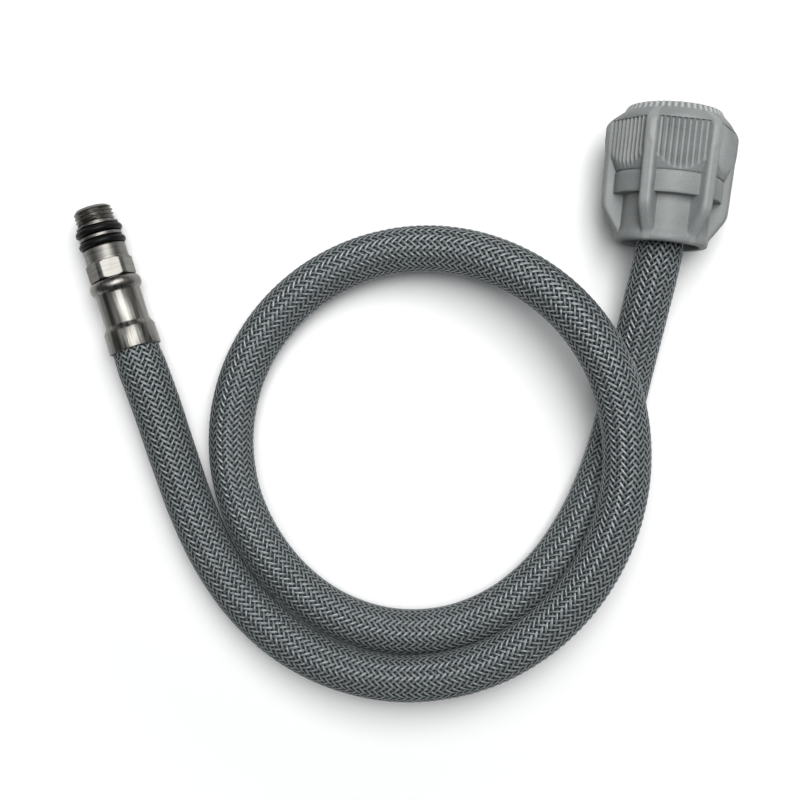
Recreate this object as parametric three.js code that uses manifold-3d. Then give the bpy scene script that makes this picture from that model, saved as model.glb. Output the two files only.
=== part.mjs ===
// Flexible connection hose: a braided hose with a crimped male tail at one end
// and a hand-tightened plastic union nut at the other. Millimetres, +Z up.
import * as THREE from "three";
import { mergeGeometries, mergeVertices } from "three/addons/utils/BufferGeometryUtils.js";
import Module from "manifold-3d";

const wasm = await Module();
wasm.setup();

// Origin: under the middle of the two end fittings, on the surface that the hose lies on
const originX = 0.5;
const originY = 42.44;

const upward = new THREE.Vector3(0, 0, 1);

// Clearance that neighbouring pieces keep
const fitGap = 0.3;
const turnedSides = 36;
const hiddenSides = 20;

// Hose
const braidRadius = 5.9;
const braidWall = 0.5;
const linerWall = 1;
const braidInner = braidRadius - braidWall;
const linerOuter = braidInner - fitGap - 0.1;
const linerInner = linerOuter - linerWall;
const braidSides = 10;
const linerSides = 8;
const hoseSteps = 60;

// Route of the hose's centre line, from the inlet sleeve's mouth to the outlet sleeve's mouth
const route = [
  [-68.0, 13.2, 6.8],
  [-63.0, -0.5, 6.6],
  [-58.4, -14.3, 6.4],
  [-53.5, -28.1, 6.3],
  [-47.4, -41.1, 6.4],
  [-38.9, -52.8, 6.9],
  [-27.7, -62.3, 8.0],
  [-14.5, -68.3, 9.6],
  [-0.4, -70.6, 11.3],
  [13.8, -69.0, 12.8],
  [26.8, -64.0, 14.1],
  [38.5, -55.5, 15.2],
  [47.5, -44.5, 16.2],
  [53.6, -31.4, 17.2],
  [56.2, -17.4, 18.2],
  [55.1, -2.9, 18.9],
  [50.4, 10.6, 19.3],
  [42.1, 22.4, 18.2],
  [31.0, 31.4, 15.8],
  [18.0, 36.9, 12.9],
  [4.0, 38.5, 10.1],
  [-10.1, 35.9, 7.9],
  [-22.9, 29.4, 6.7],
  [-33.3, 19.4, 6.2],
  [-40.4, 6.7, 6.2],
  [-43.4, -7.6, 6.2],
  [-42.1, -22.2, 6.2],
  [-36.6, -35.6, 6.2],
  [-27.5, -47.2, 6.2],
  [-15.7, -55.4, 6.2],
  [-1.7, -59.5, 6.2],
  [13.0, -58.7, 6.2],
  [26.5, -53.1, 6.2],
  [37.6, -43.7, 6.2],
  [46.0, -31.6, 6.2],
  [52.0, -18.4, 6.2],
  [56.2, -4.5, 6.5],
  [59.4, 9.6, 7.9],
  [62.2, 23.2, 11.2],
  [64.65, 35.2, 13.5],
];

// Inlet fitting: its axis lies flat and points this way, seen from above
const inletTurn = THREE.MathUtils.degToRad(17.35);
const inletMouth = new THREE.Vector3(route[0][0], route[0][1], route[0][2]);

// Outlet fitting: middle of the union nut's rim seen from above, and the turn of its axis
const nutTurn = THREE.MathUtils.degToRad(-6);
const nutRim = new THREE.Vector2(65.45, 38.78);

// Crimped sleeve, the same at both ends; heights run from its mouth
const sleeveWall = 0.5;
const sleeveBandRadius = braidRadius + fitGap + sleeveWall;
const sleeveBandLength = 5.1;
const sleeveWaistRadius = 5.75;
const sleeveWaistStart = 6.9;
const sleeveLength = 18.5;
const sleeveBeadLength = 3.5;
const sleeveBeadStart = sleeveLength - sleeveBeadLength;
const sleeveBeadRadius = 6.65;
const sleeveEndHole = 5;

// Turned tails; heights run from the sleeve's mouth
const boreRadius = 2.8;
const tailLength = 14;
const keeperInset = 2.4;
const keeperStart = sleeveLength - keeperInset;
const tailStart = keeperStart - tailLength;
const barbCount = 3;
const barbHeight = 0.35;
const barbRadius = linerInner * Math.cos(Math.PI / linerSides) - 0.1;
const neckRadius = sleeveEndHole - fitGap;
const keeperLength = 1.2;
const keeperRadius = sleeveBeadRadius - sleeveWall - 1.4 * fitGap;

// Inlet stem: spanner flats on a round bar, collar, two seal grooves and the male thread
const barRadius = 6;
const acrossFlats = 11;
const flatsTwist = THREE.MathUtils.degToRad(14);
const flatsLength = 4.6;
const collarRadius = 5.5;
const collarLength = 3.7;
const sealSection = 0.95;
const sealSideGap = 0.25;
const grooveWidth = 2 * (sealSection + sealSideGap);
const grooveFloor = 3.9;
const landLength = 0.8;
const threadRadius = 4.95;
const threadLength = 4;
const reliefRadius = 4.35;
const reliefLength = 0.5;
const threadChamfer = 0.55;

// Union nut; heights run along its axis from the rim that the hose enters
const nutLength = 33.8;
const nutSides = 48;
const skirtRadius = 11;
const skirtBore = 9.2;
const rimRadius = 11.5;
const bandRadius = 13.6;
const bandStart = 11.5;
const bandEnd = 16.7;
const partingDepth = 0.3;
const coneSlope = 0.42;
const wings = 6;
const panelDistance = 14.35;
const wingTipRadius = 16.45;
const wingBendRadius = 15.8;
const wingStart = 1.8;
const wingBend = 8.1;
const wingThickness = 3;
const wingEdgeRadius = 0.9;
const crownHeight = 1.6;
const shoulderHeight = 2.8;
const shoulderEnd = nutLength - crownHeight;
const shoulderStart = shoulderEnd - shoulderHeight;
const shoulderRound = 0.9;
const wingEdgeStart = wingBend + 0.3;
const wingEdgeEnd = shoulderStart - 1.5;
const crownRadius = 12.5;
const crownTopRadius = 11.7;
const crownRibs = 48;
const crownRibDepth = 0.42;
const fluteCount = 9;
const flutePitch = 1.55;
const fluteWidth = 0.75;
const fluteDepth = 0.5;
const landStart = 19;
const landThickness = 3;
const landHole = 7.4;
const socketRadius = 9.3;
const socketMouthRadius = 10.6;

// Outlet tail and washer, placed by the nut's inner land
const outletSleeveStart = landStart + landThickness - sleeveLength;
const flangeRadius = socketRadius - fitGap;
const flangeThickness = 1.5;
const washerThickness = 2;
const washerHole = 5.5;

const plated = { color: 0xa9a7a0, metalness: 1, roughness: 0.3 };
const rubber = { color: 0x141414, metalness: 0, roughness: 0.6 };
const plastic = { color: 0x939a98, metalness: 0, roughness: 0.55 };
const braid = { color: 0x6d777b, metalness: 0, roughness: 0.7 };
const linerLook = { color: 0x2b2b2b, metalness: 0, roughness: 0.7 };

// A closed geometry as a solid that can be cut and joined
function solidOf(geometry) {
  const flat = geometry.index ? geometry.toNonIndexed() : geometry;
  const bare = new THREE.BufferGeometry();
  bare.setAttribute("position", flat.getAttribute("position"));
  const merged = mergeVertices(bare, 1e-4);
  return new wasm.Manifold(
    new wasm.Mesh({
      numProp: 3,
      vertProperties: new Float32Array(merged.attributes.position.array),
      triVerts: new Uint32Array(merged.index.array),
    }),
  );
}

function geometryOf(solid) {
  const mesh = solid.getMesh();
  const geometry = new THREE.BufferGeometry();
  geometry.setAttribute("position", new THREE.BufferAttribute(mesh.vertProperties, 3));
  geometry.setIndex(new THREE.BufferAttribute(mesh.triVerts, 1));
  geometry.computeVertexNormals();
  return geometry;
}

// Profile points are [radius, height], anticlockwise with the axis on the left
function turned(profile, sides = turnedSides) {
  return new THREE.LatheGeometry(
    profile.map(([radius, height]) => new THREE.Vector2(radius, height)),
    sides,
  );
}

function ring(profile, sides = turnedSides) {
  return turned([...profile, profile[0]], sides);
}

// Points of an arc in a profile, ends included
function arc(centreRadius, centreHeight, radius, fromDegrees, toDegrees, steps) {
  return Array.from({ length: steps + 1 }, (_, i) => {
    const angle = THREE.MathUtils.degToRad(fromDegrees + ((toDegrees - fromDegrees) * i) / steps);
    return [centreRadius + radius * Math.cos(angle), centreHeight + radius * Math.sin(angle)];
  });
}

function named(name, geometry, look) {
  const mesh = new THREE.Mesh(geometry, new THREE.MeshStandardMaterial(look));
  mesh.name = name;
  return mesh;
}

// Hose tube: a ring section swept along the route, with a straight run into each fitting
function hoseTube(outer, inner, sides, reach) {
  const mouth = outletMouth();
  const path = new THREE.CatmullRomCurve3(
    [
      inletMouth.clone().addScaledVector(axisOf(inletTurn), reach),
      ...route.map((point) => new THREE.Vector3(...point)),
      mouth,
      mouth.clone().addScaledVector(nutAxis(), reach),
    ],
    false,
    "centripetal",
  );
  const section = polygon(outer, sides);
  section.holes.push(polygon(inner, linerSides));
  return new THREE.ExtrudeGeometry(section, { steps: hoseSteps, extrudePath: path });
}

function polygon(radius, sides) {
  const points = Array.from({ length: sides }, (_, i) => {
    const angle = (2 * Math.PI * (i + 0.5)) / sides;
    return new THREE.Vector2(radius * Math.cos(angle), radius * Math.sin(angle));
  });
  return new THREE.Shape(points);
}

// Direction of a fitting's axis, turned from +Y and tipped up from the surface
function axisOf(turn, tip = 0) {
  return new THREE.Vector3(0, Math.cos(tip), Math.sin(tip)).applyAxisAngle(upward, turn);
}

// Distance from the nut's axis to what it lies on, for wings of this radius
function restDistance(wingRadius) {
  const lean = Math.PI / wings;
  const halfFlat = wingThickness / 2 - wingEdgeRadius;
  return (wingRadius - wingEdgeRadius) * Math.cos(lean) + halfFlat * Math.sin(lean) + wingEdgeRadius;
}

// The nut lies on the sloping edges of two wings, so its axis tips up a little
function nutTip() {
  const rise = restDistance(wingTipRadius) - restDistance(wingBendRadius);
  return Math.atan2(rise, wingEdgeEnd - wingEdgeStart);
}

function nutHeight() {
  const tip = nutTip();
  return restDistance(wingBendRadius) * Math.cos(tip) - wingEdgeStart * Math.sin(tip);
}

function nutAxis() {
  return axisOf(nutTurn, nutTip());
}

function outletMouth() {
  const rim = new THREE.Vector3(nutRim.x, nutRim.y, nutHeight());
  return rim.addScaledVector(nutAxis(), outletSleeveStart);
}

function sleeveGeometry(sides) {
  const inside = sleeveBandRadius - sleeveWall;
  const waistInside = sleeveWaistRadius - sleeveWall;
  const beadInside = sleeveBeadRadius - sleeveWall;
  const beadMiddle = (sleeveBeadStart + sleeveLength) / 2 + 0.1;
  const lip = 0.15;
  return ring([
    [inside, 0],
    [sleeveBandRadius - lip, 0],
    [sleeveBandRadius, lip],
    [sleeveBandRadius - 0.15, sleeveBandLength],
    [sleeveBandRadius - 0.35, sleeveBandLength + 0.6],
    [sleeveWaistRadius + 0.1, sleeveWaistStart - 0.4],
    [sleeveWaistRadius, sleeveWaistStart],
    [sleeveWaistRadius, sleeveBeadStart],
    [sleeveWaistRadius + 0.2, sleeveBeadStart + 0.45],
    [sleeveBeadRadius - 0.15, beadMiddle - 0.8],
    [sleeveBeadRadius, beadMiddle],
    [sleeveBeadRadius - 0.2, beadMiddle + 0.8],
    [sleeveBeadRadius - 0.7, beadMiddle + 1.35],
    [sleeveBeadRadius - 1.1, sleeveLength],
    [sleeveEndHole, sleeveLength],
    [sleeveEndHole, sleeveLength - sleeveWall],
    [beadInside - 0.45, beadMiddle + 1],
    [beadInside, beadMiddle + 0.2],
    [beadInside - 0.25, beadMiddle - 0.9],
    [waistInside, sleeveBeadStart + 0.3],
    [waistInside, sleeveWaistStart - 0.2],
    [inside - 0.3, sleeveBandLength],
  ], sides);
}

// Barbed tail, up to the neck that passes out of the sleeve; it starts the profile of both fittings
function tailProfile() {
  const pitch = (tailLength - 1.2) / barbCount;
  const barbs = Array.from({ length: barbCount }, (_, i) => [
    [barbRadius - barbHeight, tailStart + i * pitch],
    [barbRadius, tailStart + (i + 0.75) * pitch],
    [barbRadius - barbHeight, tailStart + (i + 0.76) * pitch],
  ]).flat();
  return [
    [boreRadius, tailStart],
    ...barbs,
    [barbRadius - barbHeight, keeperStart],
    [keeperRadius, keeperStart],
    [keeperRadius, keeperStart + keeperLength],
    [neckRadius, keeperStart + keeperLength],
  ];
}

// Male stem of the inlet, turned from bar and then milled for the spanner
function stemGeometry() {
  const flatsStart = sleeveLength + fitGap;
  const collarStart = flatsStart + flatsLength;
  const firstGroove = collarStart + collarLength;
  const land = firstGroove + grooveWidth;
  const secondGroove = land + landLength;
  const guard = secondGroove + grooveWidth;
  const relief = guard + 0.5;
  const thread = relief + reliefLength;
  const tip = thread + threadLength;
  const edge = 0.25;
  const bar = turned(
    [
      ...tailProfile(),
      [neckRadius, flatsStart],
      [barRadius - edge, flatsStart],
      [barRadius, flatsStart + edge],
      [barRadius, collarStart - edge],
      [barRadius - edge, collarStart],
      [collarRadius, collarStart],
      [collarRadius, firstGroove],
      [grooveFloor, firstGroove],
      [grooveFloor, land],
      [collarRadius, land],
      [collarRadius, secondGroove],
      [grooveFloor, secondGroove],
      [grooveFloor, guard],
      [collarRadius - 0.1, guard],
      [collarRadius - 0.1, relief],
      [reliefRadius, relief],
      [reliefRadius, thread],
      [threadRadius, thread + 0.25],
      [threadRadius, tip - threadChamfer],
      [threadRadius - threadChamfer, tip],
      [boreRadius + 0.3, tip],
      [boreRadius, tip - 0.3],
      [boreRadius, tailStart],
    ],
    turnedSides,
  );
  const keep = new THREE.CylinderGeometry(1, 1, flatsLength, 6);
  const corner = acrossFlats / 2 / Math.cos(Math.PI / 6);
  keep.scale(corner, 1, corner);
  keep.rotateY(Math.PI / 6 + flatsTwist);
  keep.translate(0, flatsStart + flatsLength / 2, 0);
  const blank = turned(
    [
      [0, flatsStart],
      [barRadius + 1, flatsStart],
      [barRadius + 1, collarStart],
      [0, collarStart],
    ],
    turnedSides,
  );
  const chips = solidOf(blank).subtract(solidOf(keep));
  return geometryOf(solidOf(bar).subtract(chips));
}

function sealHeights() {
  const firstGroove = sleeveLength + fitGap + flatsLength + collarLength;
  return [firstGroove + grooveWidth / 2, firstGroove + 1.5 * grooveWidth + landLength];
}

function sealGeometry(height) {
  const ringRadius = grooveFloor + 0.25 + sealSection;
  const profile = arc(ringRadius, height, sealSection, 0, 360, 8).slice(0, -1);
  return ring(profile, turnedSides);
}

// One wing: a plate in the plane of the axis, rounded along its edges
function wingGeometry(index) {
  const inner = socketMouthRadius + 0.2;
  const slope = (wingBend - wingStart) / (wingBendRadius - rimRadius);
  const outline = new THREE.Shape([
    new THREE.Vector2(inner, wingStart - slope * (rimRadius - inner)),
    new THREE.Vector2(wingBendRadius - 0.4, wingBend - 0.4 * slope),
    new THREE.Vector2(wingBendRadius, wingEdgeStart),
    new THREE.Vector2(wingTipRadius, wingEdgeEnd),
    new THREE.Vector2(wingTipRadius, shoulderEnd - 0.5),
    new THREE.Vector2(inner, shoulderEnd - 0.5),
  ]);
  const plate = new THREE.ExtrudeGeometry(outline, {
    depth: wingThickness - 2 * wingEdgeRadius,
    bevelThickness: wingEdgeRadius,
    bevelSize: wingEdgeRadius,
    bevelOffset: -wingEdgeRadius,
    bevelSegments: 2,
  });
  plate.translate(0, 0, wingEdgeRadius - wingThickness / 2);
  const angle = (Math.PI * (2 * index + 1)) / wings;
  return plate.rotateY(angle - Math.PI / 2);
}

// Outer form below the panels: rounded rim, skirt, undercut band and parting groove
function skirtGeometry() {
  return turned([
    [0, 0],
    [rimRadius - 0.6, 0],
    [rimRadius - 0.2, 0.2],
    [rimRadius, 0.7],
    [rimRadius - 0.05, wingStart],
    [skirtRadius + 0.25, wingStart + 0.8],
    [skirtRadius, wingStart + 1.7],
    [skirtRadius, bandStart],
    [bandRadius - 0.15, bandStart],
    [bandRadius, bandStart + 0.2],
    [bandRadius, bandEnd - 0.15],
    [bandRadius - partingDepth, bandEnd - 0.05],
    [bandRadius - partingDepth, bandEnd + 0.9],
    [0, bandEnd + 0.9],
  ], nutSides);
}

// Six flat panels that rise out of a cone
function panelBody() {
  const coneStart = bandEnd + 0.3;
  const cornerRadius = wingTipRadius - 0.15;
  const coneEnd = coneStart + (cornerRadius - bandRadius) / coneSlope;
  const envelope = turned([
    [0, coneStart],
    [bandRadius, coneStart],
    [cornerRadius, coneEnd],
    [cornerRadius, shoulderEnd],
    [0, shoulderEnd],
  ], nutSides);
  const height = shoulderEnd + 1 - bandEnd;
  const corner = panelDistance / Math.cos(Math.PI / wings);
  const prism = new THREE.CylinderGeometry(corner, corner, height, wings);
  prism.rotateY(Math.PI / wings);
  prism.translate(0, bandEnd + height / 2, 0);
  return solidOf(envelope).intersect(solidOf(prism));
}

// Everything outside the rounded corner and chamfer under the crown is turned away
function shoulderLimit() {
  const outside = wingTipRadius + 0.5;
  return turned([
    [0, -1],
    [outside, -1],
    [outside, shoulderStart - 1.9 * shoulderRound],
    [wingTipRadius + 0.15, shoulderStart - shoulderRound],
    [wingTipRadius - 0.4, shoulderStart],
    [crownRadius, shoulderEnd],
    [0, shoulderEnd],
  ], nutSides);
}

function crownGeometry() {
  return turned([
    [0, shoulderEnd - 0.7],
    [crownRadius - 0.2, shoulderEnd - 0.7],
    [crownRadius - 0.2, shoulderEnd],
    [crownTopRadius, nutLength - 0.15],
    [crownTopRadius - 0.15, nutLength],
    [0, nutLength],
  ], crownRibs);
}

// Notches between the crown's ribs, leaning with its slope
function crownNotches() {
  const height = nutLength - shoulderEnd + 1;
  const lean = Math.atan2(crownRadius - crownTopRadius, nutLength - shoulderEnd);
  const side = crownRibDepth * Math.SQRT2;
  const middleRadius = (crownRadius + crownTopRadius) / 2;
  const boxes = Array.from({ length: crownRibs }, (_, i) => {
    const box = new THREE.BoxGeometry(side, height, side);
    box.rotateY(Math.PI / 4);
    box.rotateX(-lean);
    box.translate(0, (shoulderEnd + nutLength) / 2 + 0.5, middleRadius - 0.5 * Math.tan(lean));
    return box.rotateY((2 * Math.PI * i) / crownRibs);
  });
  return mergeGeometries(boxes);
}

// Grip flutes in each panel, from the cone up to one straight line under the shoulder
function flutes() {
  const start = bandEnd;
  const height = shoulderStart - start;
  const boxes = [];
  for (let panel = 0; panel < wings; panel++) {
    for (let i = 0; i < fluteCount; i++) {
      const box = new THREE.BoxGeometry(fluteWidth, height, 2 * fluteDepth);
      const offset = (i - (fluteCount - 1) / 2) * flutePitch;
      box.translate(offset, start + height / 2, panelDistance);
      boxes.push(box.rotateY((2 * Math.PI * panel) / wings));
    }
  }
  return mergeGeometries(boxes);
}

// Inside of the nut: skirt clearance, the land that pulls the flange, and the threaded socket
function nutBore() {
  const landEnd = landStart + landThickness;
  return turned([
    [0, -1],
    [skirtBore + 1.5, -1],
    [skirtBore + 0.5, 0],
    [skirtBore, 0.7],
    [skirtBore, landStart - 1],
    [skirtBore - 1, landStart],
    [landHole, landStart],
    [landHole, landEnd],
    [socketRadius, landEnd],
    [socketRadius, nutLength - (socketMouthRadius - socketRadius)],
    [socketMouthRadius, nutLength],
    [socketMouthRadius, nutLength + 1],
    [0, nutLength + 1],
  ], turnedSides);
}

function nutGeometry() {
  let body = solidOf(skirtGeometry()).add(panelBody());
  for (let i = 0; i < wings; i++) body = body.add(solidOf(wingGeometry(i)));
  body = body.intersect(solidOf(shoulderLimit())).subtract(solidOf(flutes()));
  const crown = solidOf(crownGeometry()).subtract(solidOf(crownNotches()));
  return geometryOf(body.add(crown).subtract(solidOf(nutBore())));
}

// Flanged tail of the outlet, clamped by the nut's land against the tap's seat
function outletTailGeometry() {
  const flangeStart = sleeveLength + fitGap;
  const flangeEnd = flangeStart + flangeThickness;
  return turned([
    ...tailProfile(),
    [neckRadius, flangeStart],
    [flangeRadius, flangeStart],
    [flangeRadius, flangeEnd],
    [boreRadius, flangeEnd],
    [boreRadius, tailStart],
  ], hiddenSides);
}

function washerGeometry() {
  const start = landStart + landThickness + fitGap + flangeThickness + fitGap;
  return ring([
    [washerHole, start],
    [flangeRadius, start],
    [flangeRadius, start + washerThickness],
    [washerHole, start + washerThickness],
  ], hiddenSides);
}

function inletFitting() {
  const [first, second] = sealHeights();
  const fitting = new THREE.Group();
  fitting.add(
    named("inlet_crimp_sleeve", sleeveGeometry(turnedSides), plated),
    named("inlet_stem", stemGeometry(), plated),
    named("inner_seal_ring", sealGeometry(first), rubber),
    named("outer_seal_ring", sealGeometry(second), rubber),
  );
  fitting.rotation.z = inletTurn;
  fitting.position.copy(inletMouth);
  return fitting;
}

function outletFitting() {
  const crimp = new THREE.Group();
  crimp.add(
    named("outlet_crimp_sleeve", sleeveGeometry(hiddenSides), plated),
    named("outlet_tail", outletTailGeometry(), plated),
  );
  crimp.position.y = outletSleeveStart;
  const fitting = new THREE.Group();
  fitting.add(
    crimp,
    named("union_nut", nutGeometry(), plastic),
    named("sealing_washer", washerGeometry(), rubber),
  );
  fitting.rotation.set(nutTip(), 0, nutTurn, "ZYX");
  fitting.position.set(nutRim.x, nutRim.y, nutHeight());
  return fitting;
}

function hose() {
  const braidReach = sleeveBandLength - 2 * fitGap;
  const linerReach = sleeveBeadStart - fitGap;
  const tubes = new THREE.Group();
  tubes.add(
    named("hose_braid", hoseTube(braidRadius, braidInner, braidSides, braidReach), braid),
    named("hose_liner", hoseTube(linerOuter, linerInner, linerSides, linerReach), linerLook),
  );
  return tubes;
}

const model = new THREE.Group();
model.name = "flexible_hose";
model.add(inletFitting(), hose(), outletFitting());
model.position.set(-originX, -originY, 0);

export default model;
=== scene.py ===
"""Looks of the flexible hose: its woven braid, plated fittings, rubber seals and union nut."""

import math

import bpy
import numpy as np
from mathutils import Matrix, Vector


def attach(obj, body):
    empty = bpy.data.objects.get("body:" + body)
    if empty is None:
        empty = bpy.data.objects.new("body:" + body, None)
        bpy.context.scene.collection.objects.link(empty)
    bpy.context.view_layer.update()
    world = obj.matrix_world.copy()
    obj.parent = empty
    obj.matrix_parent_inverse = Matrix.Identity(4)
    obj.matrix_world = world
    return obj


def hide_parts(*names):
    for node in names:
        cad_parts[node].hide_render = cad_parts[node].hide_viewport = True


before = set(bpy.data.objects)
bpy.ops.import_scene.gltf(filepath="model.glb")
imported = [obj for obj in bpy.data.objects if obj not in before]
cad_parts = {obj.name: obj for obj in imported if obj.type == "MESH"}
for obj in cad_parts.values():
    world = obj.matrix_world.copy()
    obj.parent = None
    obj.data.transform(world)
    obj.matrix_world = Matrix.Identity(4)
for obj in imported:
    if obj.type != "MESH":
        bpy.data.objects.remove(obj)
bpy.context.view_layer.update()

MM = 0.001

# The part's origin, in millimetres from the middle of the picture
ORIGIN = np.array([0.5, 42.44, 0.0])

# Camera, straight above the middle of the picture
CAMERA_HEIGHT = 0.3256
CAMERA_LENS = 55.8
CAMERA_SENSOR = 36
CAMERA_NEAREST = 0.01

# Route of the hose's centre line, in metres from the middle of the picture
ROUTE = [
    (-0.0680, 0.0132, 0.0068),
    (-0.0630, -0.0005, 0.0066),
    (-0.0584, -0.0143, 0.0064),
    (-0.0535, -0.0281, 0.0063),
    (-0.0474, -0.0411, 0.0064),
    (-0.0389, -0.0528, 0.0069),
    (-0.0277, -0.0623, 0.0080),
    (-0.0145, -0.0683, 0.0096),
    (-0.0004, -0.0706, 0.0113),
    (0.0138, -0.0690, 0.0128),
    (0.0268, -0.0640, 0.0141),
    (0.0385, -0.0555, 0.0152),
    (0.0475, -0.0445, 0.0162),
    (0.0536, -0.0314, 0.0172),
    (0.0562, -0.0174, 0.0182),
    (0.0551, -0.0029, 0.0189),
    (0.0504, 0.0106, 0.0193),
    (0.0421, 0.0224, 0.0182),
    (0.0310, 0.0314, 0.0158),
    (0.0180, 0.0369, 0.0129),
    (0.0040, 0.0385, 0.0101),
    (-0.0101, 0.0359, 0.0079),
    (-0.0229, 0.0294, 0.0067),
    (-0.0333, 0.0194, 0.0062),
    (-0.0404, 0.0067, 0.0062),
    (-0.0434, -0.0076, 0.0062),
    (-0.0421, -0.0222, 0.0062),
    (-0.0366, -0.0356, 0.0062),
    (-0.0275, -0.0472, 0.0062),
    (-0.0157, -0.0554, 0.0062),
    (-0.0017, -0.0595, 0.0062),
    (0.0130, -0.0587, 0.0062),
    (0.0265, -0.0531, 0.0062),
    (0.0376, -0.0437, 0.0062),
    (0.0460, -0.0316, 0.0062),
    (0.0520, -0.0184, 0.0062),
    (0.0562, -0.0045, 0.0065),
    (0.0594, 0.0096, 0.0079),
    (0.0622, 0.0232, 0.0112),
    (0.06465, 0.0352, 0.0135),
]

# Fittings: turn of each axis from +Y, and the nut's rim; the nut's axis tips up a little
INLET_TURN = math.radians(17.35)
NUT_TURN = math.radians(-6)
NUT_TIP = 0.02886
NUT_RIM = np.array([65.45, 38.78, 13.856])
OUTLET_SLEEVE_START = 3.5

# Hose: how far it reaches into each sleeve, and how finely its line and core are cut
HOSE_REACH = 4.5
CURVE_STEPS = 60
LINE_STEP = 0.25
CORE_RADIUS = 5.35
CORE_RINGS, CORE_SIDES = 560, 32

# Weave: the bundles of each hand, the length of one turn, and the form of a bundle
STRANDS = 24
LEAD = 41.3
STRAND_WIDTH = 0.78
STRAND_ARCH = 0.34
STRAND_PLACES = np.array([-1, -0.62, 0, 0.62, 1])
STRAND_STEP = LEAD / (4 * STRANDS)
WEAVE_HEIGHT = 0.17
WEAVE_PARTS = 2


def axis_of(turn, tip=0.0):
    """A fitting's direction: +Y, turned about Z and tipped up."""
    level = math.cos(tip)
    return np.array([-math.sin(turn) * level, math.cos(turn) * level, math.sin(tip)])


def outlet_mouth():
    """Where the hose enters the outlet sleeve, inside the nut's skirt."""
    return NUT_RIM + axis_of(NUT_TURN, NUT_TIP) * OUTLET_SLEEVE_START


def hose_points():
    """Knots of the hose's centre line in millimetres, with its straight run into each fitting."""
    knots = [np.array(point) / MM for point in ROUTE]
    start = knots[0] + axis_of(INLET_TURN) * HOSE_REACH
    mouth = outlet_mouth()
    end = mouth + axis_of(NUT_TURN, NUT_TIP) * HOSE_REACH
    return np.array([start, *knots, mouth, end]) - ORIGIN


def smooth_curve(knots, steps):
    """Points of the centripetal Catmull-Rom curve through the knots."""
    ends = [2 * knots[0] - knots[1], *knots, 2 * knots[-1] - knots[-2]]
    found = []
    for p0, p1, p2, p3 in zip(ends, ends[1:], ends[2:], ends[3:]):
        d0, d1, d2 = (np.linalg.norm(b - a) ** 0.5 for a, b in ((p0, p1), (p1, p2), (p2, p3)))
        t1 = ((p1 - p0) / d0 - (p2 - p0) / (d0 + d1) + (p2 - p1) / d1) * d1
        t2 = ((p2 - p1) / d1 - (p3 - p1) / (d1 + d2) + (p3 - p2) / d2) * d1
        for t in np.arange(steps) / steps:
            a, b = t * t * (3 - 2 * t), t * t * (t - 1)
            found.append(p1 + a * (p2 - p1) + (t - t * t + b) * t1 + b * t2)
    return np.array([*found, knots[-1]])


class Line:
    """The hose's centre line with a frame that turns no more than the line does."""

    def __init__(self, knots):
        rough = smooth_curve(knots, CURVE_STEPS)
        run = np.concatenate([[0], np.cumsum(np.linalg.norm(np.diff(rough, axis=0), axis=1))])
        self.length = run[-1]
        self.at = np.linspace(0, self.length, round(self.length / LINE_STEP) + 1)
        self.centre = np.stack([np.interp(self.at, run, rough[:, k]) for k in range(3)], 1)
        tangent = np.gradient(self.centre, self.at, axis=0)
        self.tangent = tangent / np.linalg.norm(tangent, axis=1)[:, None]
        side = np.cross(self.tangent[0], (0, 0, 1))
        sides = []
        for direction in self.tangent:
            side = side - direction * (side @ direction)
            side = side / np.linalg.norm(side)
            sides.append(side)
        self.side = np.array(sides)
        self.up = np.cross(self.side, self.tangent)

    def look(self, table, s):
        """Rows of one of the line's tables, read at the lengths s."""
        return np.stack([np.interp(s, self.at, table[:, k]) for k in range(3)], -1)


def camera():
    data = bpy.data.cameras.new("camera")
    data.sensor_width, data.lens = CAMERA_SENSOR, CAMERA_LENS
    data.clip_start = CAMERA_NEAREST
    made = bpy.data.objects.new("camera", data)
    made.location = (-ORIGIN[0] * MM, -ORIGIN[1] * MM, CAMERA_HEIGHT)
    bpy.context.scene.collection.objects.link(made)
    bpy.context.scene.camera = made


def grid_mesh(name, points, wrap_columns=False, wrap_rows=False, uv=None, layer="along"):
    """A mesh over points[row, column], or over several grids: points[grid, row, column]."""
    points = points[None] if points.ndim == 3 else points
    grids, rows, columns, _ = points.shape
    number = np.arange(grids * rows * columns).reshape(grids, rows, columns)
    if wrap_columns:
        number = np.concatenate([number, number[:, :, :1]], 2)
    if wrap_rows:
        number = np.concatenate([number, number[:, :1]], 1)
    quads = np.stack(
        [number[:, :-1, :-1], number[:, :-1, 1:], number[:, 1:, 1:], number[:, 1:, :-1]], -1
    ).reshape(-1, 4)
    mesh = bpy.data.meshes.new(name)
    mesh.vertices.add(points.size // 3)
    mesh.vertices.foreach_set("co", (points * MM).astype(np.float32).ravel())
    mesh.loops.add(quads.size)
    mesh.loops.foreach_set("vertex_index", quads.astype(np.int32).ravel())
    mesh.polygons.add(len(quads))
    mesh.polygons.foreach_set("loop_start", np.arange(0, quads.size, 4, dtype=np.int32))
    if uv is not None:
        made = mesh.uv_layers.new(name=layer)
        made.data.foreach_set("uv", uv.reshape(-1, 2)[quads.ravel()].astype(np.float32).ravel())
    mesh.update(calc_edges=True)
    mesh.shade_smooth()
    return mesh


def piece(name, mesh, body, material, place=None, replaces=()):
    """Adds a mesh that rides on a body and stands in for the nodes that it replaces."""
    made = bpy.data.objects.new(name, mesh)
    bpy.context.scene.collection.objects.link(made)
    if place is not None:
        made.matrix_world = place
    mesh.materials.append(material)
    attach(made, body)
    if replaces:
        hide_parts(*replaces)
    return made


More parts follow.
